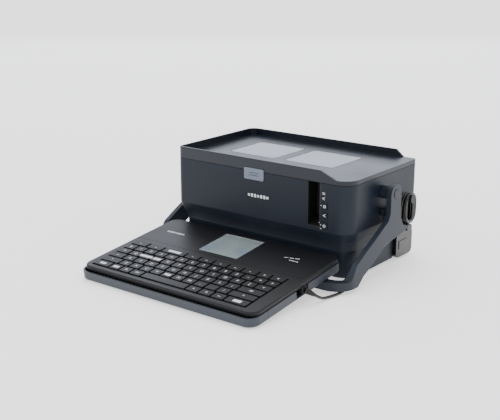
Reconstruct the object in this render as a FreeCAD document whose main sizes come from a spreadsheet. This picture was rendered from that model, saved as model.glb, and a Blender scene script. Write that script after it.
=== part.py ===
"""Desktop label maker with a detachable keyboard and a folding carrying handle.

Millimetres. +X runs to the right along the front, +Y to the rear, +Z up. The origin is on the
table, under the middle of the box round the keyboard, the handle and the main unit.
"""

import FreeCAD, Part
import math
import os
import re
import Sketcher

from FreeCAD import Placement, Rotation, Vector

SIZES = {
    # Main unit, standing on its feet
    "body_width": 288,
    "body_depth": 175,
    "front_right_corner": 22,
    "rear_right_corner": 6,
    "rear_left_corner": 13,
    "front_left_corner": 8,
    "shell_wall": 2.6,
    "foot_height": 3,
    "base_seam": 56,
    "face_foot": 66,
    "tuck_height": 40,
    "tuck_front": 11,
    "tuck_side": 5,
    "seam_tuck_front": 4,
    "seam_tuck_side": 1.8,
    "lid_seam": 130.5,
    "seam_gap": 0.5,
    "tray_floor": 137,
    "rim_top": 147,
    "rim_wall": 3.2,
    "front_slope_start": 98,
    "front_slope_end": 123,
    "rear_slope_start": 112,
    "rear_slope_end": 124,
    # Lid windows
    "window_size": 81,
    "window_corner": 7,
    "window_thickness": 2,
    "window_depth_centre": 95,
    "left_window_centre": -54,
    "right_window_centre": 42,
    "trim_gap": 0.35,
    # Lid hinges
    "hinge_radius": 2.8,
    "hinge_pin_radius": 1.3,
    "running_gap": 0.06,
    "hinge_width": 22,
    "left_hinge": -37,
    "right_hinge": 43,
    "hinge_leaf": 1.4,
    # Release button
    "button_centre": -7,
    "button_width": 32.8,
    "button_low": 118.3,
    "button_high": 134.2,
    "button_proud": 0.9,
    "button_depth": 6,
    "button_travel": 3,
    # Tape exit and controls
    "slot_left": 81,
    "slot_right": 99,
    "slot_low": 72,
    "slot_depth": 24,
    "slot_wall": 1.5,
    "tape_slit": 3,
    "control_column": 107,
    "control_width": 9,
    "control_height": 8.4,
    "control_proud": 0.5,
    "power_level": 101,
    "feed_level": 88,
    "link_level": 75,
    "lamp_column": 99.6,
    # Inside
    "deck_level": 118,
    "deck_plate": 2.5,
    "well_width": 74,
    "well_depth": 66,
    "well_floor": 84,
    "well_wall": 2,
    "frame_level": 82,
    "frame_plate": 2,
    "tape_line": 90,
    "roller_radius": 5,
    "roller_depth": 48,
    "roller_bottom": 85.5,
    "roller_height": 31,
    "shaft_radius": 2,
    "gear_module": 0.8,
    "roller_teeth": 24,
    "idler_teeth": 20,
    "pinion_teeth": 12,
    "gear_thickness": 4,
    "gear_level": 76.5,
    # Handle
    "handle_reach": 20,
    "arm_thickness": 7,
    "handle_corner": 28,
    "pivot_depth": 84.5,
    "pivot_level": 108.5,
    "arm_end_radius": 13.5,
    "bar_front": -42,
    "bar_depth": 13,
    "bar_bottom": 5.2,
    "bar_top": 16.5,
    "pivot_pin_radius": 4,
    "boss_radius": 8.5,
    "cap_radius": 6,
    "side_gap": 0.4,
    # Power adapter in its bay
    "bay_low_depth": 125.5,
    "bay_high_depth": 172.2,
    "bay_height": 40,
    "bay_left": 34,
    "bay_gap": 1.2,
    # Rear panel and sockets
    "rear_panel_width": 210,
    "rear_panel_low": 68,
    "rear_panel_high": 112,
    "rear_socket_level": 88,
    "usb_width": 13,
    "usb_height": 11.5,
    "jack_radius": 4.5,
    # Keyboard cord, the hank that it hangs in and its socket in the right side
    "cord_diameter": 4,
    "socket_depth": 103,
    "socket_level": 78,
    "socket_width": 13,
    "socket_height": 9,
    "plug_length": 12,
    "hook_depth": 136,
    "hook_level": 90,
    "hook_radius": 4,
    "hook_length": 18,
    "hank_width": 30,
    "hank_height": 46,
    "hank_thickness": 12,
    "hank_gap": 3.3,
    "tie_level": 53,
    # Keyboard, in its own frame: x across, y from its front edge, z up from its underside
    "keyboard_reach": 191,
    "keyboard_shift": -7.4,
    "keyboard_depth": 193,
    "keyboard_tilt": 6.3,
    "keyboard_base_height": 12,
    "keyboard_height": 18,
    "keyboard_corner": 15,
    "keyboard_wall": 2.4,
    "keyboard_foot": 1.6,
    "keyboard_foot_depth": 10,
    "rail_depth": 30,
    "bezel_front": 6,
    "panel_depth": 82,
    "panel_gap": 0.4,
    "key_field_left": -132.5,
    "key_field_right": 123.5,
    "key_field_front": 14,
    "key_gap": 1.3,
    "key_top": 19.3,
    "key_bottom": 9.2,
    "key_columns": 14,
    "screen_centre": -5,
    "screen_width": 65,
    "screen_depth": 61,
    "cable_slot_front": 88,
    "cable_slot_width": 25,
}

FORMULAS = {
    "rear_reach": "body_depth + 2 * hinge_radius",
    "front_plane": "(keyboard_reach - rear_reach) / 2",
    "half_width": "body_width / 2",
    "rear_plane": "front_plane + body_depth",
    "hinge_depth": "rear_plane + hinge_radius",
    "hinge_level": "lid_seam + seam_gap / 2",
    "handle_width": "body_width + 2 * handle_reach",
    "arm_inner": "handle_width / 2 - arm_thickness",
    "hank_start": "half_width + hank_gap",
    "keyboard_width": "body_width",
    "bezel_seam": "keyboard_depth - panel_depth",
    "key_field_rear": "bezel_seam - 9",
    "screen_front": "bezel_seam + 8.5",
    "pivot_place": "front_plane + pivot_depth",
    "roller_place": "tape_line + 0.3 + roller_radius",
    "bar_place": "front_plane + bar_front",
    "keyboard_front": "front_plane - keyboard_reach + keyboard_base_height * sin(keyboard_tilt)",
    "socket_place": "front_plane + socket_depth",
    "keyboard_rise": "keyboard_foot * cos(keyboard_tilt) - keyboard_foot_depth * sin(keyboard_tilt)",
}

# Rows of keys from the front: name, and how many columns wide each key is, from the left
KEY_ROWS = (
    ("bottom_keys", (1.6, 1, 1, 1.1, 4.1, 1.1, 1.1, 1.1, 1.9)),
    ("lower_letter_keys", (1.8,) + 10 * (1,) + (2.2,)),
    ("home_letter_keys", (1.4,) + 10 * (1.05,) + (2.1,)),
    ("upper_letter_keys", (1.2,) + 11 * (1.05,) + (1.25,)),
    ("number_keys", 14 * (1,)),
    ("function_keys", (1.5, 1.5, 2.2) + 5 * (1.3,) + (1.1, 1.2)),
)
SPACE_BAR = ("bottom_keys", 4)
ARROWS = (("upper_letter_keys", 12), ("number_keys", 13), ("function_keys", 8), ("function_keys", 9))

# The keyboard's cord, from its exit down to the table, under the handle and up behind the arm,
# then from the tie to its plug: mm out from the main unit's right side, behind its front, and up
CORD_ROUTE = (
    (-5.9, -86, 18.8), (-0.5, -84, 16.8), (3.5, -74.5, 9.8), (4.5, -64, 4), (5, -53, 2.3),
    (8, -41, 2.3), (9.5, -28, 2.4), (8, -12, 3.6), (6.5, 6, 8), (6, 26, 15.5),
    (6, 46, 24), (6.5, 66, 32), (7.5, 86, 39), (9.4, 108, 45), (11.2, 130.5, 48.5),
)
TAIL_ROUTE = (
    (6.9, 130.5, 49.5), (6.3, 119, 50.5), (6, 108.5, 56), (6, 103.5, 63.5), (6, 103, 71.5),
)

doc = FreeCAD.newDocument("label_maker")
sheet = doc.addObject("Spreadsheet::Sheet", "Sizes")
parts = []


def named(text):
    """The expression with each size looked up in the sheet."""
    return re.sub(r"\b([a-z]\w*)\b(?!\()", r"Sizes.\1", str(text))


def number(text):
    return float(sheet.evalExpression(str(text)))


def bind(thing, **values):
    for name, text in values.items():
        thing.setExpression(name.replace("_", "."), named(text))
    return thing


def fill_sheet():
    for row, (alias, value) in enumerate({**SIZES, **FORMULAS}.items(), 1):
        sheet.set(f"A{row}", alias)
        sheet.set(f"B{row}", f"={value}" if alias in FORMULAS else str(value))
        sheet.setAlias(f"B{row}", alias)
    doc.recompute()


def part(label, thing):
    """Keeps a finished piece under the name of its file."""
    thing.Label = label
    parts.append(thing)
    return thing


# Basic shapes. A range is a pair of expressions, low and high.


def box(x, y, z):
    it = doc.addObject("Part::Box", "Block")
    for size, axis, (low, high) in zip(("Length", "Width", "Height"), "xyz", (x, y, z)):
        it.setExpression(size, named(f"({high}) - ({low})"))
        it.setExpression("Placement.Base." + axis, named(low))
    return it


def cylinder(axis, place, radius, length):
    """A round bar that starts at place and runs along +axis."""
    it = doc.addObject("Part::Cylinder", "Round")
    turn = {"x": Rotation(Vector(0, 1, 0), 90), "y": Rotation(Vector(1, 0, 0), -90), "z": Rotation()}
    it.Placement.Rotation = turn[axis]
    for name, text in zip("xyz", place):
        it.setExpression("Placement.Base." + name, named(text))
    return bind(it, Radius=radius, Height=length)


def cut(base, *tools):
    it = doc.addObject("Part::Cut", "Cut")
    it.Base = base
    it.Tool = tools[0] if len(tools) == 1 else fuse(*tools)
    return it


def fuse(*shapes):
    it = doc.addObject("Part::MultiFuse", "Joined")
    it.Shapes = list(shapes)
    return it


def common(*shapes):
    it = doc.addObject("Part::MultiCommon", "Shared")
    it.Shapes = list(shapes)
    return it


def new_sketch(body, plane, height=0):
    sketch = body.newObject("Sketcher::SketchObject", "Outline")
    origin = next(f for f in body.Origin.OriginFeatures if f.Role == plane)
    sketch.AttachmentSupport = [(origin, "")]
    sketch.MapMode = "FlatFace"
    sketch.setExpression("AttachmentOffset.Base.z", named(height))
    return sketch


def tie(sketch, kind, *where, value):
    """A sketch dimension that follows an expression."""
    index = sketch.addConstraint(Sketcher.Constraint(kind, *where, number(value)))
    sketch.setExpression(f"Constraints[{index}]", named(value))


def plan_corners(less=0):
    """The main unit's corner radii in plan, less a wall: front right first, then round to the left."""
    corners = ("front_right", "rear_right", "rear_left", "front_left")
    return tuple(f"{corner}_corner - {less}" for corner in corners)


def rounded_rectangle(sketch, x, y, corner):
    """Corner is one radius, or four from the low right corner round to the low left."""
    corners = corner if isinstance(corner, tuple) else 4 * (corner,)
    left, right, low, high = (number(v) for v in (*x, *y))
    a, b, c, d = (number(r) for r in corners)
    spots = [
        (right - a, low + a, -90, a), (right - b, high - b, 0, b),
        (left + c, high - c, 90, c), (left + d, low + d, 180, d),
    ]
    for across, up, start, r in spots:
        ring = Part.Circle(Vector(across, up, 0), Vector(0, 0, 1), r)
        arc = Part.ArcOfCircle(ring, math.radians(start), math.radians(start + 90))
        sketch.addGeometry(arc, False)
    for first in range(4):
        second = (first + 1) % 4
        a, b = sketch.getPoint(first, 2), sketch.getPoint(second, 1)
        line = sketch.addGeometry(Part.LineSegment(a, b), False)
        sketch.addConstraint(Sketcher.Constraint("Tangent", first, 2, line, 1))
        sketch.addConstraint(Sketcher.Constraint("Tangent", line, 2, second, 1))
        side = "Horizontal" if first % 2 else "Vertical"
        sketch.addConstraint(Sketcher.Constraint(side, line))
        tie(sketch, "Radius", first, value=corners[first])
    right_line, top_line, left_line, low_line = 4, 5, 6, 7
    tie(sketch, "DistanceX", right_line, 1, value=x[1])
    tie(sketch, "DistanceX", left_line, 1, value=x[0])
    tie(sketch, "DistanceY", low_line, 1, value=y[0])
    tie(sketch, "DistanceY", top_line, 1, value=y[1])


def polygon(sketch, points):
    """Straight lines between points, each given by two expressions."""
    spots = [Vector(number(a), number(b), 0) for a, b in points]
    for i, spot in enumerate(spots):
        sketch.addGeometry(Part.LineSegment(spot, spots[(i + 1) % len(spots)]), False)
    for i, (across, up) in enumerate(points):
        after = (i + 1) % len(points)
        sketch.addConstraint(Sketcher.Constraint("Coincident", i, 2, after, 1))
        tie(sketch, "DistanceX", i, 1, value=across)
        tie(sketch, "DistanceY", i, 1, value=up)


def plate(x, y, z, corner):
    """A block with upright rounded corners."""
    body = doc.addObject("PartDesign::Body", "Plate")
    sketch = new_sketch(body, "XY_Plane", z[0])
    rounded_rectangle(sketch, x, y, corner)
    pad = body.newObject("PartDesign::Pad", "Pad")
    pad.Profile = sketch
    bind(pad, Length=f"({z[1]}) - ({z[0]})")
    return body


def profile(plane, points, start, length):
    """An outline pushed along the normal of its plane, from start."""
    body = doc.addObject("PartDesign::Body", "Profile")
    sketch = new_sketch(body, plane, start)
    polygon(sketch, points)
    pad = body.newObject("PartDesign::Pad", "Pad")
    pad.Profile = sketch
    bind(pad, Length=length)
    return body


def skirt(low, high):
    """A loft between two rounded rectangles, each (z, x, y, corner)."""
    body = doc.addObject("PartDesign::Body", "Skirt")
    outlines = []
    for z, x, y, corner in (low, high):
        outlines.append(new_sketch(body, "XY_Plane", z))
        rounded_rectangle(outlines[-1], x, y, corner)
    loft = body.newObject("PartDesign::AdditiveLoft", "Loft")
    loft.Profile = outlines[0]
    loft.Sections = outlines[1:]
    loft.Ruled = True
    return body


def rounded(body, direction, spots, radius):
    """Rounds the edges of a body that run along direction through the given places."""
    doc.recompute()
    shape = body.Tip.Shape
    names = []
    for i, edge in enumerate(shape.Edges, 1):
        middle = edge.CenterOfMass
        along = edge.tangentAt(edge.FirstParameter).getAngle(direction) % math.pi
        if min(along, math.pi - along) > 0.01:
            continue
        for spot in spots:
            gap = middle - Vector(*(number(v) for v in spot))
            if gap.cross(direction).Length < 0.2:
                names.append(f"Edge{i}")
    fillet = body.newObject("PartDesign::Fillet", "Fillet")
    fillet.Base = (body.Tip if body.Tip != fillet else fillet.BaseFeature, names)
    bind(fillet, Radius=radius)
    return body


def softened(body, heights, radius):
    """Rounds the level rims of a plate at the given heights."""
    doc.recompute()
    base = body.Tip
    levels = [number(height) for height in heights]
    names = []
    for i, edge in enumerate(base.Shape.Edges, 1):
        box_of = edge.BoundBox
        if box_of.ZLength < 0.01 and any(abs(box_of.ZMin - z) < 0.01 for z in levels):
            names.append(f"Edge{i}")
    fillet = body.newObject("PartDesign::Fillet", "Fillet")
    fillet.Base = (base, names)
    bind(fillet, Radius=radius)
    return body


def across(margin):
    return (f"0 - half_width + ({margin})", f"half_width - ({margin})")


def from_front(low, high):
    """Depths behind the front plane of the main unit."""
    return (f"front_plane + ({low})", f"front_plane + ({high})")


def around(centre, width):
    return (f"({centre}) - ({width}) / 2", f"({centre}) + ({width}) / 2")


# Main unit: housings


def make_base_housing():
    low_depth = from_front("tuck_front", "body_depth")
    seam_depth = from_front("seam_tuck_front", "body_depth")
    lower = plate(across("tuck_side"), low_depth, ("foot_height", "tuck_height"), plan_corners())
    softened(lower, ["foot_height"], 2)
    upper = skirt(
        ("tuck_height", across("tuck_side"), low_depth, plan_corners()),
        ("base_seam", across("seam_tuck_side"), seam_depth, plan_corners()),
    )
    inside = plate(
        across("tuck_side + shell_wall"),
        from_front("tuck_front + shell_wall", "body_depth - shell_wall"),
        ("foot_height + shell_wall", "base_seam + 1"),
        plan_corners("shell_wall"),
    )
    bay_walls = box(
        ("bay_left - shell_wall", "half_width + 1"),
        from_front("bay_low_depth - shell_wall", "body_depth"),
        ("foot_height", "bay_height + shell_wall"),
    )
    bay = box(
        ("bay_left", "half_width + 2"),
        from_front("bay_low_depth", "bay_high_depth"),
        ("foot_height - 1", "bay_height"),
    )
    outside = fuse(lower, upper)
    return part("base_housing", cut(outside, cut(inside, bay_walls), bay))


def make_upper_housing():
    full = from_front("0", "body_depth")
    skirt_outside = skirt(
        ("base_seam + 0.2", across("seam_tuck_side"), from_front("seam_tuck_front", "body_depth"),
         plan_corners()),
        ("face_foot", across("0"), full, plan_corners()),
    )
    wall_outside = plate(across("0"), full, ("face_foot", "lid_seam"), plan_corners())
    inside = plate(
        across("shell_wall"),
        from_front("shell_wall", "body_depth - shell_wall"),
        ("face_foot", "lid_seam + 1"),
        plan_corners("shell_wall"),
    )
    skirt_inside = skirt(
        ("base_seam", across("seam_tuck_side + shell_wall"),
         from_front("seam_tuck_front + shell_wall", "body_depth - shell_wall"),
         plan_corners("shell_wall")),
        ("face_foot", across("shell_wall"), from_front("shell_wall", "body_depth - shell_wall"),
         plan_corners("shell_wall")),
    )
    slot = box(
        ("slot_left - slot_wall", "slot_right + slot_wall"),
        from_front("0 - 1", "shell_wall + 1"),
        ("slot_low - slot_wall", "lid_seam + 1"),
    )
    button_notch = box(
        around("button_centre", "button_width + 2 * trim_gap"),
        from_front("0 - 1", "shell_wall + 1"),
        ("button_low - trim_gap", "lid_seam + 1"),
    )
    keys = [
        box(
            around("control_column", "control_width + 2 * trim_gap"),
            from_front("0 - 1", "shell_wall + 1"),
            around(level, "control_height + 2 * trim_gap"),
        )
        for level in ("power_level", "feed_level", "link_level")
    ]
    lamps = [
        cylinder("y", ("lamp_column + 2", "front_plane - 1", level), 0.9, "shell_wall + 2")
        for level in ("power_level", "link_level", "link_level - 5")
    ]
    rear_window = box(
        around("0", "rear_panel_width"),
        ("rear_plane - shell_wall - 1", "rear_plane + 1"),
        ("rear_panel_low", "rear_panel_high"),
    )
    socket = box(
        ("half_width - shell_wall - 1", "half_width + 1"),
        around("socket_place", "socket_width + 2 * trim_gap"),
        around("socket_level", "socket_height + 2 * trim_gap"),
    )
    pins = [
        cylinder(
            "x", (f"{side} - shell_wall - 1" if side == "half_width" else f"{side} - 1",
                  "pivot_place", "pivot_level"),
            "pivot_pin_radius + running_gap", "shell_wall + 2",
        )
        for side in ("half_width", "0 - half_width")
    ]
    outside = fuse(skirt_outside, wall_outside)
    openings = [slot, button_notch, rear_window, socket, *keys, *lamps, *pins]
    return part("upper_housing", cut(cut(outside, fuse(inside, skirt_inside)), *openings))


def window_hole(centre):
    size = "window_size + 2 * trim_gap"
    return plate(
        around(centre, size), around("front_plane + window_depth_centre", size),
        ("tray_floor - shell_wall - 1", "tray_floor + 1"), "window_corner + trim_gap",
    )


def make_top_cover():
    low = "lid_seam + seam_gap"
    outside = plate(across("0"), from_front("0", "body_depth"), (low, "rim_top"), plan_corners())
    softened(outside, ["rim_top"], 1.2)
    tray = plate(
        ("0 - half_width + rim_wall", "half_width + front_right_corner"),
        from_front("rim_wall", "body_depth - rim_wall"),
        ("tray_floor", "rim_top + 1"),
        plan_corners("rim_wall"),
    )
    below = plate(
        across("shell_wall"), from_front("shell_wall", "body_depth - shell_wall"),
        (f"{low} - 1", "tray_floor - shell_wall"), plan_corners("shell_wall"),
    )
    high = "rim_top + 1"
    slopes = []
    for start, end, nearest in (
        ("front_slope_start", "front_slope_end", "0 - front_plane - front_right_corner"),
        ("rear_slope_start", "rear_slope_end", "0 - rear_plane - 1"),
    ):
        outline = [
            (f"{start} - 2", high), (start, "rim_top"), (end, "tray_floor"),
            ("half_width + 1", "tray_floor"), ("half_width + 1", high),
        ]
        slopes.append(profile("XZ_Plane", outline, nearest, "front_right_corner + 1"))
    notch = box(
        around("button_centre", "button_width + 2 * trim_gap"),
        from_front("0 - 1", "shell_wall + 0.1"),
        (f"{low} - 1", "button_high + trim_gap"),
    )
    windows = [window_hole(c) for c in ("left_window_centre", "right_window_centre")]
    shell = cut(outside, tray, below, notch, *slopes, *windows)
    return part("top_cover", cut(fuse(shell, *lid_knuckles()), *hinge_bores()))


def make_windows():
    for label, centre in (("left_window", "left_window_centre"), ("right_window", "right_window_centre")):
        part(label, plate(
            around(centre, "window_size"), around("front_plane + window_depth_centre", "window_size"),
            ("tray_floor - window_thickness - 0.1", "tray_floor - 0.1"), "window_corner",
        ))


def hinge_bores():
    return [
        cylinder("x", (f"{centre} - hinge_width", "hinge_depth", "hinge_level"),
                 "hinge_pin_radius + running_gap", "2 * hinge_width")
        for centre in ("left_hinge", "right_hinge")
    ]


def lid_knuckles():
    """The lid's own barrel at each hinge, with the leaf that joins it to the rear wall."""
    leaf = ("rear_plane - 0.5", "rear_plane + hinge_leaf")
    barrel = "hinge_width / 3 - 0.3"
    pieces = []
    for centre in ("left_hinge", "right_hinge"):
        start = f"{centre} - ({barrel}) / 2"
        place = (start, "hinge_depth", "hinge_level")
        pieces.append(cylinder("x", place, "hinge_radius", barrel))
        pieces.append(box((start, f"{start} + {barrel}"), leaf, ("lid_seam + seam_gap", "rim_top - 3")))
        pieces.append(box(around(centre, "hinge_width"), leaf, ("lid_seam + 4", "rim_top - 3")))
    return pieces


def make_hinges():
    brackets, pins = [], []
    leaf = ("rear_plane", "rear_plane + hinge_leaf")
    barrel = "hinge_width / 3 - 0.3"
    for centre in ("left_hinge", "right_hinge"):
        low_end = f"{centre} - hinge_width / 2"
        last = f"{centre} + hinge_width / 2 - ({barrel})"
        for start in (low_end, last):
            x = (start, f"{start} + {barrel}")
            brackets.append(cylinder("x", (start, "hinge_depth", "hinge_level"), "hinge_radius", barrel))
            brackets.append(box(x, leaf, ("lid_seam - 10", "hinge_level")))
        brackets.append(box(around(centre, "hinge_width"), leaf, ("lid_seam - 10", "lid_seam - 3.5")))
        place = (f"{low_end} - 0.5", "hinge_depth", "hinge_level")
        pins.append(cylinder("x", place, "hinge_pin_radius", "hinge_width + 1"))
    part("hinge_brackets", cut(fuse(*brackets), *hinge_bores()))
    part("hinge_pins", fuse(*pins))


def make_release_button():
    face = plate(
        around("button_centre", "button_width"),
        ("button_low", "button_high"),
        ("0", "button_depth"), 1.5,
    )
    turned = fuse(face, box(
        around("button_centre", "button_width - 8"), ("button_low + 2", "button_low + 5"),
        ("0 - 2", "1"),
    ))
    turned.Placement.Rotation = Rotation(Vector(1, 0, 0), 90)
    turned.setExpression("Placement.Base.y", named("front_plane - button_proud + button_depth"))
    part("release_button", turned)
    post = box(
        around("button_centre", "10"),
        from_front("button_depth + button_travel + 3", "button_depth + button_travel + 4"),
        ("deck_level + 0.1", "lid_seam - 1"),
    )
    part("button_spring", post)
    hook = fuse(
        box(around("button_centre - 26", "8"), from_front("6", "9"),
            ("deck_level + 4", "tray_floor - shell_wall")),
        box(around("button_centre - 26", "8"), from_front("4", "7"),
            ("deck_level + 4", "deck_level + 6")),
    )
    part("latch_hook", hook)


# Main unit: tape exit, controls and what is inside


def make_tape_exit():
    outside = box(
        ("slot_left - slot_wall + 0.1", "slot_right + slot_wall - 0.1"),
        from_front("0.3", "slot_depth"),
        ("slot_low - slot_wall + 0.1", "lid_seam - 0.2"),
    )
    inside = box(
        ("slot_left", "slot_right"), from_front("0", "slot_depth - slot_wall"),
        ("slot_low", "lid_seam + 1"),
    )
    slit = box(
        around("tape_line", "tape_slit"), from_front("slot_depth - 3", "slot_depth + 1"),
        ("slot_low + 8", "lid_seam + 1"),
    )
    ledge = profile(
        "YZ_Plane",
        [("front_plane + 1", "slot_low"), ("front_plane + slot_depth - slot_wall", "slot_low"),
         ("front_plane + slot_depth - slot_wall", "slot_low + 9")],
        "slot_left", "slot_right - slot_left",
    )
    part("exit_chute", fuse(cut(outside, inside, slit), ledge))


def make_controls():
    for label, level in (
        ("power_button", "power_level"), ("feed_button", "feed_level"), ("link_button", "link_level"),
    ):
        cap = box(
            around("control_column", "control_width"),
            from_front("0 - control_proud", "shell_wall + 1"), around(level, "control_height"),
        )
        stem = box(
            around("control_column", "4"), from_front("shell_wall", "shell_wall + 3"), around(level, "4"),
        )
        part(label, fuse(cap, stem))
    lamps = [
        cylinder("y", ("lamp_column + 2", "front_plane", level), 0.8, "shell_wall + 1.5")
        for level in ("power_level", "link_level", "link_level - 5")
    ]
    part("status_lamps", fuse(*lamps))


def well(centre, grow):
    """The space of a cassette well under one of the windows."""
    return (
        around(centre, f"well_width + 2 * ({grow})"),
        around("front_plane + window_depth_centre", f"well_depth + 2 * ({grow})"),
    )


def make_inside():
    deck = plate(
        across("shell_wall + side_gap"),
        from_front("shell_wall + side_gap + 3", "body_depth - shell_wall - side_gap"),
        ("deck_level - deck_plate", "deck_level"), plan_corners("shell_wall - side_gap"),
    )
    tubs, holes = [], []
    for centre in ("left_window_centre", "right_window_centre"):
        depth = ("well_floor - well_wall", "deck_level - deck_plate / 2")
        tubs.append(box(*well(centre, "well_wall"), depth))
        holes.append(box(*well(centre, "0"), ("well_floor", "deck_level + 1")))
    bridge = box(
        ("slot_left - slot_wall - 1", "roller_place + roller_radius + 3"),
        from_front("0", "roller_depth + roller_radius + 4"), ("deck_level - 10", "deck_level + 1"),
    )
    part("inner_deck", cut(fuse(deck, *tubs), *holes, bridge))

    centre_y = "front_plane + window_depth_centre"
    case = plate(
        around("right_window_centre", "well_width - 4"), around(centre_y, "well_depth - 5"),
        ("well_floor + 0.2", "deck_level + 8"), 5,
    )
    spool_bore = cylinder(
        "z", ("right_window_centre - 14", centre_y, "well_floor + 4"), "9 + running_gap", "deck_level",
    )
    part("tape_cassette", cut(case, spool_bore))
    part("tape_spool", cylinder(
        "z", ("right_window_centre - 14", centre_y, "well_floor + 4.2"), 9, "deck_level - well_floor + 3.5",
    ))

    # The drive: a rubber roller on a geared shaft, an idler and the motor's pinion
    frame = box(
        ("right_window_centre + well_width / 2 + well_wall + 0.3", "half_width - 12"),
        from_front("28", "bay_low_depth - 50"),
        ("frame_level", "frame_level + frame_plate"),
    )
    roller = ("roller_place", "front_plane + roller_depth")
    shaft_bore = cylinder("z", (*roller, "frame_level - 1"), "shaft_radius + running_gap", 4)
    motor_bore = cylinder("z", (*motor_spot(), "frame_level - 1"), 4, 4)
    idler_post = cylinder("z", (*idler_spot(), "gear_level"), 1.5, "frame_level - gear_level + 0.5")
    cutter_bed = box(
        ("tape_line - 7", "tape_line - 2.5"), from_front("28", "34"),
        ("frame_level", "frame_level + frame_plate + roller_height"),
    )
    part("print_frame", fuse(cut(frame, shaft_bore, motor_bore), idler_post, cutter_bed))
    part("print_head", box(
        ("tape_line - 7", "tape_line - 0.4"),
        from_front("roller_depth - 9", "roller_depth + 9"),
        ("frame_level + frame_plate", "roller_bottom + roller_height"),
    ))
    part("rubber_roller", cut(
        cylinder("z", (*roller, "roller_bottom"), "roller_radius", "roller_height"),
        cylinder("z", (*roller, "roller_bottom - 1"), "shaft_radius", "roller_height + 2"),
    ))
    shaft = cylinder("z", (*roller, "gear_level"), "shaft_radius",
                     "roller_bottom + roller_height - gear_level + 2")
    part("roller_shaft", fuse(gear("roller_teeth", roller, 0), shaft))
    part("idler_gear", cut(
        gear("idler_teeth", idler_spot(), 180 / SIZES["idler_teeth"]),
        cylinder("z", (*idler_spot(), "gear_level - 1"), "1.5 + running_gap", "gear_thickness + 2"),
    ))
    pinion_shaft = cylinder("z", (*motor_spot(), "gear_level"), 1.5, "frame_level - gear_level + 5")
    part("motor_pinion", fuse(gear("pinion_teeth", motor_spot(), 0), pinion_shaft))
    motor = cylinder("z", (*motor_spot(), "frame_level + frame_plate"), 12, 26)
    motor_hole = cylinder("z", (*motor_spot(), "frame_level"), "1.5 + running_gap", 6)
    part("drive_motor", cut(motor, motor_hole))

    part("cutter_blade", profile(
        "XY_Plane",
        [("tape_line + 2.5", "front_plane + 30.4"), ("tape_line + 10", "front_plane + 30.4"),
         ("tape_line + 10", "front_plane + 31.6"), ("tape_line + 3.5", "front_plane + 31.6")],
        "frame_level + frame_plate + 0.3", "roller_height",
    ))
    board = box(
        across("tuck_side + shell_wall + 8"), from_front("30", "bay_low_depth - 8"),
        ("foot_height + shell_wall + 8", "foot_height + shell_wall + 9.6"),
    )
    chips = [
        box(around(x, size), around(f"front_plane + {y}", size),
            ("foot_height + shell_wall + 9.6", "foot_height + shell_wall + 12"))
        for x, y, size in ((-60, 70, 22), (-15, 60, 14), (40, 75, 18), (90, 60, 10), (-100, 55, 12))
    ]
    posts = [
        cylinder("z", (x, f"front_plane + {y}", "foot_height + shell_wall"), 3, 8)
        for x in ("0 - half_width + 30", "half_width - 30") for y in (38, 108)
    ]
    part("main_board", fuse(board, *chips, *posts))


def idler_spot():
    reach = "(gear_module * (roller_teeth + idler_teeth) / 2 + 0.1)"
    return (f"roller_place + {reach}", "front_plane + roller_depth")


def motor_spot():
    reach = "(gear_module * (pinion_teeth + idler_teeth) / 2 + 0.1)"
    return (idler_spot()[0] + f" + {reach}", "front_plane + roller_depth")


def gear(teeth, place, turn):
    """A spur gear with straight-sided teeth, narrower than the gaps between them."""
    body = doc.addObject("PartDesign::Body", "Gear")
    root = f"(gear_module * {teeth} / 2 - 1.15 * gear_module)"
    tip = f"(gear_module * {teeth} / 2 + 0.8 * gear_module)"
    disc = new_sketch(body, "XY_Plane")
    disc.addGeometry(Part.Circle(Vector(0, 0, 0), Vector(0, 0, 1), number(root)), False)
    disc.addConstraint(Sketcher.Constraint("Coincident", 0, 3, -1, 1))
    tie(disc, "Radius", 0, value=root)
    wheel = body.newObject("PartDesign::Pad", "Wheel")
    wheel.Profile = disc
    bind(wheel, Length="gear_thickness")
    outline = new_sketch(body, "XY_Plane")
    polygon(outline, [
        (f"{root} - 0.5", "0 - gear_module * 0.9"), (tip, "0 - gear_module * 0.35"),
        (tip, "gear_module * 0.35"), (f"{root} - 0.5", "gear_module * 0.9"),
    ])
    tooth = body.newObject("PartDesign::Pad", "Tooth")
    tooth.Profile = outline
    bind(tooth, Length="gear_thickness")
    pattern = body.newObject("PartDesign::PolarPattern", "Teeth")
    pattern.Originals = [tooth]
    pattern.Axis = (outline, ["N_Axis"])
    pattern.Angle = 360
    pattern.Occurrences = SIZES[teeth]
    body.Tip = pattern
    body.Placement.Rotation = Rotation(Vector(0, 0, 1), turn)
    for axis, text in zip("xyz", (*place, "gear_level")):
        body.setExpression("Placement.Base." + axis, named(text))
    return body


# Main unit: outside fittings


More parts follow.
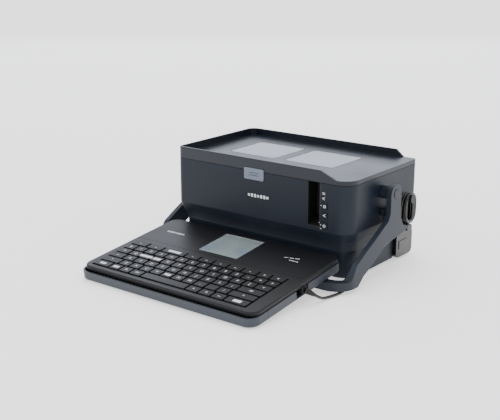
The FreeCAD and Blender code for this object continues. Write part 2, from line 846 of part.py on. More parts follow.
def make_fittings():
    feet = [
        cylinder("z", (x, y, 0), 8, "foot_height")
        for x in ("0 - half_width + 28", "half_width - 28")
        for y in ("front_plane + tuck_front + 20", "front_plane + bay_low_depth - 22")
    ]
    feet.append(cylinder("z", ("0 - half_width + 28", "rear_plane - 20", 0), 8, "foot_height"))
    part("rubber_feet", fuse(*feet))

    panel = box(
        around("0", "rear_panel_width - 2 * trim_gap"), ("rear_plane - shell_wall", "rear_plane - 0.3"),
        ("rear_panel_low + trim_gap", "rear_panel_high - trim_gap"),
    )
    vents = [
        box(around(-45, 60), ("rear_plane - 5", "rear_plane + 1"),
            (f"rear_panel_low + {rise}", f"rear_panel_low + {rise} + 2.4"))
        for rise in (12, 18, 24, 30)
    ]
    sockets = [
        box(around(40, "usb_width + 0.6"), ("rear_plane - 5", "rear_plane + 1"),
            around("rear_socket_level", "usb_height + 0.6")),
        cylinder("y", (70, "rear_plane - 5", "rear_socket_level"), "jack_radius + 0.3", 6),
    ]
    part("rear_cover", cut(panel, *vents, *sockets))
    usb = cut(
        box(around(40, "usb_width"), ("rear_plane - 12", "rear_plane - 0.4"),
            around("rear_socket_level", "usb_height")),
        box(around(40, "usb_width - 2"), ("rear_plane - 10", "rear_plane + 1"),
            around("rear_socket_level", "usb_height - 2")),
    )
    part("usb_socket", usb)
    jack = cut(
        cylinder("y", (70, "rear_plane - 12", "rear_socket_level"), "jack_radius", 11.6),
        cylinder("y", (70, "rear_plane - 10", "rear_socket_level"), "jack_radius - 1.2", 12),
    )
    pin = cylinder("y", (70, "rear_plane - 11", "rear_socket_level"), 0.9, 9)
    part("power_jack", fuse(jack, pin))

    brick = plate(
        from_front("bay_low_depth + bay_gap", "bay_high_depth - bay_gap"),
        ("foot_height", "bay_height - bay_gap"), ("bay_left + bay_gap", "half_width"), 7,
    )
    doc.recompute()
    brick = fuse(brick, box(
        from_front("bay_low_depth + 8", "bay_low_depth + 30"),
        ("foot_height + 12", "foot_height + 24"), ("half_width - 1", "half_width + 0.8"),
    ))
    turn_to_side(brick)
    part("power_adapter", brick)


def turn_to_side(thing):
    """Takes a piece drawn with (depth, height, across) to (across, depth, height)."""
    thing.Placement = Placement(FreeCAD.Matrix(0, 0, 1, 0, 1, 0, 0, 0, 0, 1, 0, 0, 0, 0, 0, 1))


def make_handle():
    band = plate(
        ("0 - handle_width / 2", "handle_width / 2"),
        ("bar_place", "bar_place + 260"), ("0", "200"), "handle_corner",
    )
    hollow = plate(
        ("0 - arm_inner", "arm_inner"), ("bar_place + bar_depth", "bar_place + 300"),
        ("0 - 1", "201"), "handle_corner - arm_thickness",
    )
    upper = ((66, 75), (35, 58.5), (13, 47.5), (-10, 35), (-22, "bar_top"))
    lower = ((-6, "bar_bottom"), (7, 16), (40, 32), (62, 45), (94, 48.5), (118, 53.5))
    tab = ((120, 57), (107, 61), (99, 71))
    side = profile("YZ_Plane", [
        (f"front_plane + {y}" if isinstance(y, (int, float)) else y, z) for y, z in (
            ("bar_place - 1", "bar_bottom"), *lower, *tab,
            ("pivot_place + arm_end_radius", "pivot_level - 20"),
            ("pivot_place + arm_end_radius", "pivot_level"),
            ("pivot_place - arm_end_radius", "pivot_level"),
            ("pivot_place - arm_end_radius", "pivot_level - 24"),
            *upper, ("bar_place - 1", "bar_top"),
        )
    ], "0 - handle_width / 2 - 1", "handle_width + 2")

    def at(*spots):
        return [(0, f"front_plane + {y}" if isinstance(y, (int, float)) else y, z) for y, z in spots]

    rounded(side, Vector(1, 0, 0), at(*lower[:5], *upper[:4], tab[2],
                                      ("pivot_place - arm_end_radius", "pivot_level - 24")), 7)
    rounded(side, Vector(1, 0, 0), at(upper[4]), 3)
    rounded(side, Vector(1, 0, 0), at(lower[5], tab[0]), 1.5)
    top = cylinder("x", ("0 - handle_width / 2 - 1", "pivot_place", "pivot_level"), "arm_end_radius",
                   "handle_width + 2")
    bores = [
        cylinder("x", (start, "pivot_place", "pivot_level"), "pivot_pin_radius + running_gap",
                 "arm_thickness + 2")
        for start in ("arm_inner - 1", "0 - handle_width / 2 - 1")
    ]
    bores += [
        cylinder("x", (start, "pivot_place", "pivot_level"), "cap_radius + 0.2", 10)
        for start in ("handle_width / 2 - 1.3", "0 - handle_width / 2 - 8.7")
    ]
    part("handle_bail", cut(common(cut(band, hollow), fuse(side, top)), *bores))

    bosses, pins = [], []
    for sign in (1, -1):
        start = "half_width" if sign > 0 else "0 - arm_inner + side_gap"
        length = "arm_inner - half_width - side_gap"
        ring = cylinder("x", (start, "pivot_place", "pivot_level"), "boss_radius", length)
        bore = cylinder("x", (f"{start} - 1", "pivot_place", "pivot_level"),
                        "pivot_pin_radius + running_gap", f"{length} + 2")
        guide = cylinder("x", (start, "pivot_place - 1", "pivot_level - 26"), 4.5, length)
        bosses += [cut(ring, bore), guide]
        inner = "half_width - shell_wall - 3" if sign > 0 else "0 - handle_width / 2"
        total = "handle_width / 2 - half_width + shell_wall + 3"
        pins.append(cylinder("x", (inner, "pivot_place", "pivot_level"), "pivot_pin_radius", total))
        cap = "handle_width / 2 - 1" if sign > 0 else "0 - handle_width / 2 - 0.5"
        pins.append(cylinder("x", (cap, "pivot_place", "pivot_level"), "cap_radius", 1.5))
    part("handle_bosses", fuse(*bosses))
    part("handle_pins", fuse(*pins))
    hook = fuse(
        cylinder("x", ("half_width", "front_plane + hook_depth", "hook_level"), "hook_radius",
                 "hook_length"),
        cylinder("x", ("half_width + hook_length - 2", "front_plane + hook_depth", "hook_level"),
                 "hook_radius + 2", 2),
    )
    part("cord_hook", hook)


# Keyboard


def on_keyboard(thing):
    """Lays a piece from the keyboard's own frame down behind its front edge, tilted."""
    thing.Placement.Rotation = Rotation(Vector(1, 0, 0), SIZES["keyboard_tilt"])
    for name, text in (
        ("Rotation.Angle", "keyboard_tilt"), ("Base.x", "keyboard_shift"),
        ("Base.y", "keyboard_front"), ("Base.z", "keyboard_rise"),
    ):
        thing.setExpression("Placement." + name, named(text))
    return thing


def keyboard_part(label, thing):
    return part(label, on_keyboard(thing))


def make_keyboard_shells():
    half = "keyboard_width / 2"
    outside = plate(
        (f"0 - {half}", half), ("0", "keyboard_depth"), ("0", "keyboard_base_height"), "keyboard_corner",
    )
    softened(outside, ["0"], 2.5)
    inside = plate(
        (f"0 - {half} + keyboard_wall", f"{half} - keyboard_wall"),
        ("keyboard_wall", "keyboard_depth - keyboard_wall"),
        ("keyboard_wall", "keyboard_base_height + 1"), "keyboard_corner - keyboard_wall",
    )
    tray = cut(outside, inside)
    rail_side = box((f"0 - {half} - 1", f"{half} + 1"), ("0 - 1", "rail_depth"), ("0 - 1", "keyboard_height"))
    base_side = box(
        (f"0 - {half} - 1", f"{half} + 1"), ("rail_depth + 0.3", "keyboard_depth + 1"),
        ("0 - 1", "keyboard_height"),
    )
    cable_slot = box(
        (f"{half} - keyboard_wall - 1", f"{half} + 1"),
        ("cable_slot_front", "cable_slot_front + cable_slot_width"),
        ("keyboard_wall", "keyboard_base_height + 1"),
    )
    keyboard_part("keyboard_front_rail", common(tray, rail_side))
    keyboard_part("keyboard_base", cut(common(tray, base_side), cable_slot))

    inset = "1.2"
    shell = plate(
        (f"0 - {half} + {inset}", f"{half} - {inset}"), ("bezel_front", f"keyboard_depth - {inset}"),
        ("keyboard_base_height + 0.1", "keyboard_height"), f"keyboard_corner - {inset}",
    )
    softened(shell, ["keyboard_height"], 2.2)
    field = box(
        ("key_field_left", "key_field_right"), ("key_field_front", "key_field_rear"),
        ("keyboard_base_height", "keyboard_height + 1"),
    )
    screen = box(
        around("screen_centre", "screen_width + 1"),
        ("screen_front - 0.5", "screen_front + screen_depth + 0.5"),
        ("keyboard_base_height", "keyboard_height + 1"),
    )
    wide = (f"0 - {half} - 1", f"{half} + 1")
    tall = ("keyboard_base_height - 1", "keyboard_height + 1")
    keyboard_part("key_bezel", cut(common(shell, box(wide, ("0", "bezel_seam"), tall)), field))
    keyboard_part("display_panel", cut(
        common(shell, box(wide, ("bezel_seam + panel_gap", "keyboard_depth + 1"), tall)), screen,
    ))


def make_keyboard_inside():
    screen_x = around("screen_centre", "screen_width")
    screen_y = ("screen_front", "screen_front + screen_depth")
    module = plate(screen_x, screen_y, ("6", "keyboard_height - 1.6"), 1)
    keyboard_part("lcd_module", module)
    lens = plate(screen_x, screen_y, ("keyboard_height - 1.5", "keyboard_height - 0.2"), 1)
    keyboard_part("lcd_lens", lens)
    inner = ("0 - keyboard_width / 2 + 8", "keyboard_width / 2 - 8")
    board = plate(inner, ("8", "keyboard_depth - 10"), ("2.6", "4.2"), 8)
    keyboard_part("keyboard_board", board)
    mat = plate(
        ("key_field_left - 2", "key_field_right + 2"), ("key_field_front - 1", "key_field_rear + 2"),
        ("4.3", "6"), 3,
    )
    keyboard_part("key_mat", mat)
    feet = [
        plate(around(x, "26"), (y, f"{y} + 8"), ("0 - keyboard_foot", "0"), 3.5)
        for x in ("0 - keyboard_width / 2 + 34", "keyboard_width / 2 - 34")
        for y in ("keyboard_foot_depth", "keyboard_depth - 26")
    ]
    keyboard_part("keyboard_feet", fuse(*feet))


def key(left, right, front, rear):
    """One key cap, narrower at its top."""
    cap = doc.addObject("Part::Wedge", "Key")
    slope = "0.9"
    return bind(
        cap, Xmin=left, Xmax=right, Ymin="key_bottom", Ymax="key_top", Zmin=front, Zmax=rear,
        X2min=f"{left} + {slope}", X2max=f"{right} - {slope}",
        Z2min=f"{front} + {slope}", Z2max=f"{rear} - {slope}",
    )


def make_keys():
    """A wedge is drawn with its height along Y, so each row is turned upright."""
    row_pitch = "(key_field_front - key_field_rear) / 6"
    pitch = "(key_field_right - key_field_left) / key_columns"
    groups = {"space_bar": [], "arrow_keys": []}
    for row, (label, widths) in enumerate(KEY_ROWS):
        rear = f"0 - key_field_front + {row} * {row_pitch} - key_gap / 2"
        front = f"0 - key_field_front + {row + 1} * {row_pitch} + key_gap / 2"
        at = 0.0
        for i, width in enumerate(widths):
            left = f"key_field_left + {at:.2f} * {pitch} + key_gap / 2"
            right = f"key_field_left + {at + width:.2f} * {pitch} - key_gap / 2"
            group = "space_bar" if (label, i) == SPACE_BAR else label
            group = "arrow_keys" if (label, i) in ARROWS else group
            groups.setdefault(group, []).append(key(left, right, front, rear))
            at += width
    for label, keys in groups.items():
        body = keys[0] if len(keys) == 1 else fuse(*keys)
        part(label, keys_upright(body))


def keys_upright(thing):
    """Stands a wedge up with its height along Z, then lays it on the keyboard."""
    thing.Placement.Rotation = Rotation(Vector(1, 0, 0), 90 + SIZES["keyboard_tilt"])
    for name, text in (
        ("Rotation.Angle", "90 + keyboard_tilt"), ("Base.x", "keyboard_shift"),
        ("Base.y", "keyboard_front"), ("Base.z", "keyboard_rise"),
    ):
        thing.setExpression("Placement." + name, named(text))
    return thing


# The cord


def cord_line(points):
    """Straight runs joined by arcs as large as the runs allow."""
    edges, radii = [], []
    start = points[0]
    for before, corner, after in zip(points, points[1:], points[2:]):
        arriving, leaving = corner - before, after - corner
        half_turn = arriving.getAngle(leaving) / 2
        reach = 0.45 * min(arriving.Length, leaving.Length)
        arriving.normalize()
        leaving.normalize()
        radius = reach / math.tan(half_turn)
        inward = (leaving - arriving).normalize()
        centre = corner + inward * (radius / math.cos(half_turn))
        first, last = corner - arriving * reach, corner + leaving * reach
        edges.append(Part.LineSegment(start, first).toShape())
        edges.append(Part.Arc(first, centre - inward * radius, last).toShape())
        radii.append(round(radius, 1))
        start = last
    edges.append(Part.LineSegment(start, points[-1]).toShape())
    print("cord radii", radii)
    return Part.Wire(edges)


def cord_tube(label, route):
    side, front = number("half_width"), number("front_plane")
    points = [Vector(side + x, front + y, z) for x, y, z in route]
    line = cord_line(points)
    radius = number("cord_diameter") / 2
    ring = Part.Wire(Part.makeCircle(radius, points[0], points[1] - points[0]))
    shape = line.makePipeShell([ring], True, True)
    print(label, round(line.Length), "mm, volume share", shape.Volume / (math.pi * radius**2 * line.Length))
    tube = doc.addObject("Part::Feature", "Tube")
    tube.Shape = shape
    part(label, tube)


def make_cord():
    cord_tube("keyboard_cord", CORD_ROUTE)
    cord_tube("cord_tail", TAIL_ROUTE)
    hank = plate(
        around("front_plane + hook_depth", "hank_width"),
        ("hook_level + hook_radius + 5 - hank_height", "hook_level + hook_radius + 5"),
        ("hank_start", "hank_start + hank_thickness"), "hank_width / 2 - 0.5",
    )
    turn_to_side(hank)
    hole = cylinder("x", ("half_width", "front_plane + hook_depth", "hook_level"),
                    "hook_radius + 0.6", "hook_length")
    part("cord_hank", cut(hank, hole))
    neck = plate(
        around("front_plane + hook_depth", 13), ("tie_level - 8", "tie_level"),
        ("hank_start + 1", "hank_start + hank_thickness - 1"), 3,
    )
    turn_to_side(neck)
    part("cord_tie", neck)
    socket_y, socket_z = around("socket_place", "socket_width"), around("socket_level", "socket_height")
    socket = box(("half_width - 9", "half_width - 0.4"), socket_y, socket_z)
    mouth = box(("half_width - 7", "half_width + 1"), around("socket_place", "socket_width - 3"),
                around("socket_level", "socket_height - 3"))
    part("keyboard_socket", cut(socket, mouth))
    body = plate(
        around("socket_place", "socket_width - 1"), ("socket_level - 7", "socket_level + 5"),
        ("half_width + 0.3", "half_width + plug_length"), 2.5,
    )
    turn_to_side(body)
    tongue = box(("half_width - 6.5", "half_width + 1"), around("socket_place", "socket_width - 3.6"),
                 around("socket_level", "socket_height - 3.6"))
    part("cord_plug", fuse(body, tongue))
    grommet = plate(
        ("keyboard_width / 2 - keyboard_wall - 3", "keyboard_width / 2 + 0.6"),
        ("cable_slot_front + 12", "cable_slot_front + 22"),
        ("keyboard_wall + 0.2", "keyboard_base_height - 0.2"), 1,
    )
    keyboard_part("cord_grommet", grommet)


def finish():
    doc.recompute()
    for thing in doc.Objects:
        if any(word in thing.State for word in ("Invalid", "Error")):
            raise SystemExit(f"{thing.Label} did not compute: {thing.State}")
    os.makedirs("parts", exist_ok=True)
    for thing in parts:
        shape = thing.Shape
        if shape.isNull() or not shape.isValid() or not shape.Solids:
            raise SystemExit(f"{thing.Label} is not a valid solid")
        shape.exportStep(f"parts/{thing.Label}.step")
    print(len(parts), "pieces")


fill_sheet()
make_base_housing()
make_upper_housing()
make_top_cover()
make_windows()
make_hinges()
make_release_button()
make_tape_exit()
make_controls()
make_inside()
make_fittings()
make_handle()
make_keyboard_shells()
make_keyboard_inside()
make_keys()
make_cord()
finish()
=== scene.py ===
"""A desktop label maker with a detachable keyboard and a folding handle.

Metres, +Z up, in the frame's own coordinates: +X right along the front, +Y to the rear.
"""

import math
import random

import bpy
from mathutils import Matrix, Vector


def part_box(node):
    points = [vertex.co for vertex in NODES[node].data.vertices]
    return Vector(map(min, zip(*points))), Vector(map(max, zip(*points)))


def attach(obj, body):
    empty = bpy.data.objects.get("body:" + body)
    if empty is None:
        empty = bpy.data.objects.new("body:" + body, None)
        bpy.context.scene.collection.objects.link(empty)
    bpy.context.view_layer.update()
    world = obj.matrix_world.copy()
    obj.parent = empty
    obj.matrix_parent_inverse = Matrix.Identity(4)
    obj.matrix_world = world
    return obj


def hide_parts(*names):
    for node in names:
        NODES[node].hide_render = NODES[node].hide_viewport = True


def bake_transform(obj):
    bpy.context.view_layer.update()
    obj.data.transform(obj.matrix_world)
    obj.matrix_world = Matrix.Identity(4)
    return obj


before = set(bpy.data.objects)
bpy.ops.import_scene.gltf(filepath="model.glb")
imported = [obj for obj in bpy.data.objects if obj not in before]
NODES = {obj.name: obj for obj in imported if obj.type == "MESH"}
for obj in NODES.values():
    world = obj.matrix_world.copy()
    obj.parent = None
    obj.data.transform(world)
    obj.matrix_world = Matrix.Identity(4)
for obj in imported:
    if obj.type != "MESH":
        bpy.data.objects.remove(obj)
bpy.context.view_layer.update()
MM = 0.001


# Finding places on the object

HOUSING_LOW, HOUSING_HIGH = (Vector(c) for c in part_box("upper_housing"))
FRONT = HOUSING_LOW.y
KEYBOARD_TILT = math.radians(6.3)
BASE_HEIGHT = 12 * MM
KEYBOARD_LOW, KEYBOARD_HIGH = (Vector(c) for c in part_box("keyboard_base"))
# From the keyboard's own tilted frame to the object's: origin at the middle of its front bottom edge
KEYBOARD = Matrix.Translation((
    (KEYBOARD_LOW.x + KEYBOARD_HIGH.x) / 2,
    KEYBOARD_LOW.y + BASE_HEIGHT * math.sin(KEYBOARD_TILT),
    KEYBOARD_LOW.z,
)) @ Matrix.Rotation(KEYBOARD_TILT, 4, "X")


def middle(node):
    low, high = (Vector(c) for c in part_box(node))
    return (low + high) / 2


# Materials


def colour(hex_text):
    """An sRGB hex value as linear red, green, blue and alpha."""
    values = [int(hex_text[i : i + 2], 16) / 255 for i in (1, 3, 5)]
    return [v / 12.92 if v < 0.04045 else ((v + 0.055) / 1.055) ** 2.4 for v in values] + [1.0]


def add(tree, kind, values=None, links=None, **settings):
    """Adds a node, sets its sockets by name and links other nodes' sockets into it."""
    node = tree.nodes.new(kind)
    for name, value in settings.items():
        setattr(node, name, value)
    for name, value in (values or {}).items():
        node.inputs[name].default_value = value
    for name, socket in (links or {}).items():
        tree.links.new(socket, node.inputs[name])
    return node


def new_material(name):
    material = bpy.data.materials.new(name)
    material.use_nodes = True
    tree = material.node_tree
    tree.nodes.clear()
    return material, tree


def shader_out(tree, shader):
    add(tree, "ShaderNodeOutputMaterial", links={"Surface": shader.outputs["BSDF"]})


def ramp(tree, factor, stops):
    """A colour ramp with stops of (position, sRGB hex)."""
    node = add(tree, "ShaderNodeValToRGB", links={"Fac": factor})
    marks = node.color_ramp.elements
    while len(marks) < len(stops):
        marks.new(0.5)
    for mark, (position, shade) in zip(marks, stops):
        mark.position = position
        mark.color = colour(shade)
    return node.outputs["Color"]


def spark_texture(tree, place, grain_mm, depth_mm, edge_mm):
    """The fine pitted texture that a spark-eroded mould leaves, on edges rounded by the mould."""
    pits = add(
        tree, "ShaderNodeTexNoise", {"Scale": 1 / (grain_mm * MM), "Detail": 3.0, "Roughness": 0.6},
        {"Vector": place},
    )
    edge = add(tree, "ShaderNodeBevel", {"Radius": edge_mm * MM}, samples=4)
    return add(
        tree, "ShaderNodeBump", {"Strength": 0.5, "Distance": depth_mm * MM},
        {"Height": pits.outputs["Fac"], "Normal": edge.outputs["Normal"]},
    ).outputs["Normal"]


def moulded_plastic(name, dark, light, roughness, grain_mm=0.9, depth_mm=0.05, edge_mm=0.5, shine=0.5):
    """Injection-moulded plastic: a fine even grain, and faint flow marks in its colour and sheen."""
    material, tree = new_material(name)
    place = add(tree, "ShaderNodeTexCoord").outputs["Object"]
    flow = add(tree, "ShaderNodeTexNoise", {"Scale": 14.0, "Detail": 2.0}, {"Vector": place})
    sheen = add(
        tree, "ShaderNodeMapRange",
        {"From Min": 0.3, "From Max": 0.7, "To Min": roughness - 0.03, "To Max": roughness + 0.04},
        {"Value": flow.outputs["Fac"]},
    )
    shader_out(tree, add(
        tree, "ShaderNodeBsdfPrincipled", {"IOR": 1.53, "Specular IOR Level": shine},
        {
            "Base Color": ramp(tree, flow.outputs["Fac"], ((0.3, dark), (0.7, light))),
            "Roughness": sheen.outputs["Result"],
            "Normal": spark_texture(tree, place, grain_mm, depth_mm, edge_mm),
        },
    ))
    return material


def metal(name, shade, roughness, line_mm=0.3, line_length=14):
    """Cold-rolled or turned metal, with fine lines that run the way it was worked."""
    material, tree = new_material(name)
    place = add(tree, "ShaderNodeTexCoord").outputs["Object"]
    turned = add(tree, "ShaderNodeMapping", {"Scale": (1, line_length, 1)}, {"Vector": place})
    lines = add(
        tree, "ShaderNodeTexNoise", {"Scale": 1 / (line_mm * MM) / line_length, "Detail": 4.0},
        {"Vector": turned.outputs["Vector"]},
    )
    wear = add(
        tree, "ShaderNodeMapRange", {"To Min": roughness - 0.06, "To Max": roughness + 0.08},
        {"Value": lines.outputs["Fac"]},
    )
    bump = add(
        tree, "ShaderNodeBump", {"Strength": 0.25, "Distance": 0.02 * MM},
        {"Height": lines.outputs["Fac"]},
    )
    shader_out(tree, add(
        tree, "ShaderNodeBsdfPrincipled", {"Metallic": 1.0, "Base Color": colour(shade)},
        {"Roughness": wear.outputs["Result"], "Normal": bump.outputs["Normal"]},
    ))
    return material


def clear_plastic(name, tint, roughness, through):
    """Clear moulded plastic, polished in its mould, with the faint ripple of the pour."""
    material, tree = new_material(name)
    place = add(tree, "ShaderNodeTexCoord").outputs["Object"]
    ripple = add(tree, "ShaderNodeTexNoise", {"Scale": 25.0}, {"Vector": place})
    bump = add(
        tree, "ShaderNodeBump", {"Strength": 0.05, "Distance": 0.1 * MM}, {"Height": ripple.outputs["Fac"]},
    )
    shader_out(tree, add(
        tree, "ShaderNodeBsdfPrincipled",
        {"Base Color": colour(tint), "Roughness": roughness, "IOR": 1.58, "Transmission Weight": through},
        {"Normal": bump.outputs["Normal"]},
    ))
    return material


def display_film(name):
    """The panel's film: pale green-grey, with the liquid's blue tint in soft patches."""
    material, tree = new_material(name)
    place = add(tree, "ShaderNodeTexCoord").outputs["Object"]
    patches = add(tree, "ShaderNodeTexNoise", {"Scale": 26.0, "Detail": 1.0}, {"Vector": place})
    shader_out(tree, add(
        tree, "ShaderNodeBsdfPrincipled", {"Roughness": 0.35, "IOR": 1.49},
        {"Base Color": ramp(tree, patches.outputs["Fac"], (
            (0.35, "#c9dcd8"), (0.52, "#bfd4d6"), (0.66, "#9fb8dc"),
        ))},
    ))
    return material


MATERIALS = {
    "housing": moulded_plastic("slate_abs_spark_textured", "#131a25", "#17202c", 0.4, shine=0.2),
    "lid": moulded_plastic("dark_slate_abs_spark_textured", "#111822", "#151c27", 0.33, shine=0.32),
    "handle": moulded_plastic("slate_nylon_moulded", "#1a212c", "#1f2733", 0.46, 0.7, 0.04, 1.2, 0.3),
    "button": moulded_plastic("light_slate_abs_satin", "#666f80", "#6f788a", 0.42, 0.5, 0.02),
    "black": moulded_plastic("black_abs_textured", "#08090b", "#0c0d10", 0.5, 0.8, 0.05),
    "gloss": moulded_plastic("black_abs_polished", "#050507", "#09090b", 0.2, 2.5, 0.01, 0.8),
    "keyboard_top": moulded_plastic("black_abs_satin", "#0b0c10", "#101116", 0.46, 0.6, 0.02, 0.6, 0.3),
    "keyboard_grey": moulded_plastic("mid_slate_abs_satin", "#222833", "#272e3a", 0.45, 0.8, 0.04),
    "key": moulded_plastic("black_key_abs_textured", "#0d0e12", "#121318", 0.5, 0.5, 0.04, 0.5, 0.3),
    "cassette": moulded_plastic("grey_styrene_cassette", "#2b2d31", "#33363a", 0.4),
    "ivory": moulded_plastic("acetal_gear_plastic", "#c9c7bd", "#d6d4ca", 0.4, 0.6, 0.02),
    "board": moulded_plastic("glass_epoxy_board_green", "#0d3d22", "#14492a", 0.3, 1.5, 0.03),
    "rubber": moulded_plastic("black_moulded_rubber", "#0a0a0b", "#101011", 0.7, 0.4, 0.06, 0.4),
    "jacket": moulded_plastic("black_pvc_cord_jacket", "#050506", "#0a0a0c", 0.24, 1.2, 0.03, 0.2),
    "lamp": moulded_plastic("white_lamp_lens", "#c9d2c4", "#dfe6da", 0.3),
    "print": moulded_plastic("white_pad_print", "#dcdfe4", "#e9ecf0", 0.6, 0.4, 0.01, 0.05),
    # painted shade: the dark rings round the windows stand for the shade in the gaps at their edges
    "window_gap_shade": moulded_plastic("painted_window_gap_shade", "#101318", "#15181e", 0.6, 0.6, 0.02),
    "paper": moulded_plastic("white_paper_roll_label", "#b9c2cc", "#c6ced6", 0.7, 0.4, 0.02),
    "screen": display_film("display_panel_film"),
    "steel": metal("zinc_plated_steel", "#9a9ca0", 0.34),
    "window": clear_plastic("clear_polycarbonate_window", "#7d8895", 0.1, 0.9),
    "lens": clear_plastic("acrylic_display_lens", "#f2f6f7", 0.1, 0.9),
}

FINISH = {
    "housing": ("base_housing", "upper_housing", "rear_cover", "power_button", "feed_button", "link_button"),
    "lid": ("top_cover",),
    "handle": ("handle_bail", "handle_bosses", "handle_pins"),
    "button": ("release_button",),
    "black": (
        "exit_chute", "inner_deck", "latch_hook", "cord_hook", "power_jack", "keyboard_socket",
    ),
    "gloss": ("power_adapter", "cord_plug"),
    "keyboard_top": ("key_bezel", "display_panel"),
    "keyboard_grey": ("keyboard_base", "keyboard_front_rail"),
    "key": (
        "bottom_keys", "lower_letter_keys", "home_letter_keys", "upper_letter_keys", "number_keys",
        "function_keys", "space_bar", "arrow_keys",
    ),
    "cassette": ("tape_cassette",),
    "ivory": ("tape_spool", "idler_gear", "motor_pinion"),
    "board": ("main_board", "keyboard_board"),
    "rubber": ("rubber_feet", "rubber_roller", "key_mat", "keyboard_feet", "cord_grommet"),
    "jacket": ("keyboard_cord", "cord_hank", "cord_tail", "cord_tie"),
    "lamp": ("status_lamps",),
    "screen": ("lcd_module",),
    "steel": (
        "hinge_brackets", "hinge_pins", "button_spring", "print_frame", "print_head", "roller_shaft",
        "drive_motor", "cutter_blade", "usb_socket",
    ),
    "window": ("left_window", "right_window"),
    "lens": ("lcd_lens",),
}


def finish_nodes():
    for name, nodes in FINISH.items():
        for node in nodes:
            mesh = NODES[node].data
            mesh.materials.clear()
            mesh.materials.append(MATERIALS[name])


# Making pieces

PRINT_THICKNESS = 0.1 * MM
CAPITAL_SHARE = 0.7  # a capital's height as a share of its type size


def fresh(maker, **options):
    """A new primitive or text with nothing else selected."""
    bpy.ops.object.select_all(action="DESELECT")
    maker(**options)
    return bpy.context.object


def placed(piece, matrix):
    """Moves a finished mesh to its place and leaves its object at the origin."""
    piece.data.transform(matrix @ piece.matrix_basis)
    piece.matrix_basis = Matrix()
    return piece


def fitted(pieces, name, finish, body, smooth=30):
    """Joins parts into one named piece, gives it its finish and lets it move with its body."""
    bpy.ops.object.select_all(action="DESELECT")
    for part in pieces:
        part.select_set(True)
    piece = pieces[0]
    bpy.context.view_layer.objects.active = piece
    if len(pieces) > 1:
        bpy.ops.object.join()
    piece.name = name
    piece.data.materials.clear()
    piece.data.materials.append(MATERIALS[finish])
    if smooth:
        bpy.ops.object.shade_smooth_by_angle(angle=math.radians(smooth))
    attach(piece, body)


def printed(pieces, name, body):
    """White print, which stays flat-shaded."""
    fitted(pieces, name, "print", body, smooth=0)


def plate(wide, tall, below, above, edge, spot, segments=1):
    """A thin block with rounded edges, in millimetres, centred on a place and thick about it."""
    low = Vector((-wide / 2, -tall / 2, -below)) * MM
    high = Vector((wide / 2, tall / 2, above)) * MM
    piece = fresh(bpy.ops.mesh.primitive_cube_add, size=1, location=(low + high) / 2)
    piece.dimensions = high - low
    bpy.ops.object.transform_apply(location=True, rotation=True, scale=True)
    bpy.ops.object.mode_set(mode="EDIT")
    bpy.ops.mesh.select_all(action="SELECT")
    bpy.ops.mesh.bevel(offset=edge * MM, segments=segments, profile=0.5, affect="EDGES")
    bpy.ops.object.mode_set(mode="OBJECT")
    return placed(piece, spot)


def lettering(text, height, matrix, squeeze=1.0):
    """A printed character or mark, height in millimetres, flat and centred on a place."""
    piece = fresh(bpy.ops.object.text_add)
    piece.data.body = text
    piece.data.size = height * MM / CAPITAL_SHARE
    piece.data.align_x, piece.data.align_y = "CENTER", "CENTER"
    piece.data.extrude = PRINT_THICKNESS / 2
    piece.data.resolution_u = 3
    bpy.ops.object.convert(target="MESH")
    return placed(bpy.context.object, matrix @ Matrix.Diagonal((squeeze, 1, 1, 1)))


def on_keyboard(across, back, up):
    """A place in the keyboard's own frame, in millimetres."""
    return KEYBOARD @ Matrix.Translation((across * MM, back * MM, up * MM))


def on_front(across, up, out=0.0):
    """A place on the main unit's front, with its own X to the right and Y up."""
    place = Matrix.Translation((across * MM, FRONT - out * MM, up * MM))
    return place @ Matrix.Rotation(math.pi / 2, 4, "X")


# Key legends, in the keyboard's own frame

KEY_LEFT, KEY_RIGHT, KEY_FRONT, KEY_REAR = -132.5, 123.5, -16.33, 71.67
KEY_TOP = 19.3
KEY_COLUMNS = 14
LEGEND_HEIGHT = 4.4
BAR_HEIGHT = 5
# Each row's key widths and signs. B, W and E are white labels, a small letter is a bar or two,
# and a dot is a key with nothing on it.
KEY_ROWS = (
    ("bottom_keys", (1.6, 1, 1, 1.1, 4.1, 1.1, 1.1, 1.1, 1.9), "B B A f . + x o E"),
    ("lower_letter_keys", (1.8,) + 10 * (1,) + (2.2,), "^ Z X C V B N M , . / ^"),
    ("home_letter_keys", (1.4,) + 10 * (1.05,) + (2.1,), "c A S D F G H J K L ; r"),
    ("upper_letter_keys", (1.2,) + 11 * (1.05,) + (1.25,), "t Q W E R T Y U I O P [ <"),
    ("number_keys", 14 * (1,), "# 1 2 3 4 5 6 7 8 9 0 - = >"),
    ("function_keys", (1.5, 1.5, 2.2) + 5 * (1.3,) + (1.1, 1.2), "o m W m o m o u > <"),
)
LABEL_SIZES = {"B": (9.5, 4.2), "W": (21, 5), "E": (12, 5.2)}
ARROWS = (("upper_letter_keys", 12), ("number_keys", 13), ("function_keys", 8), ("function_keys", 9))


def key_mark(sign, across, back):
    """What is printed on one key: a letter, a white label, or a small sign."""
    spot = on_keyboard(across, back, KEY_TOP + 0.02)
    if sign in LABEL_SIZES:
        return plate(*LABEL_SIZES[sign], 0.05, 0.05, 0.04, spot)
    if sign.islower():
        code = ord(sign)
        return lettering("-" if code % 2 else "=", BAR_HEIGHT, spot, 1 + 0.4 * (code % 4))
    return lettering(sign, LEGEND_HEIGHT, spot)


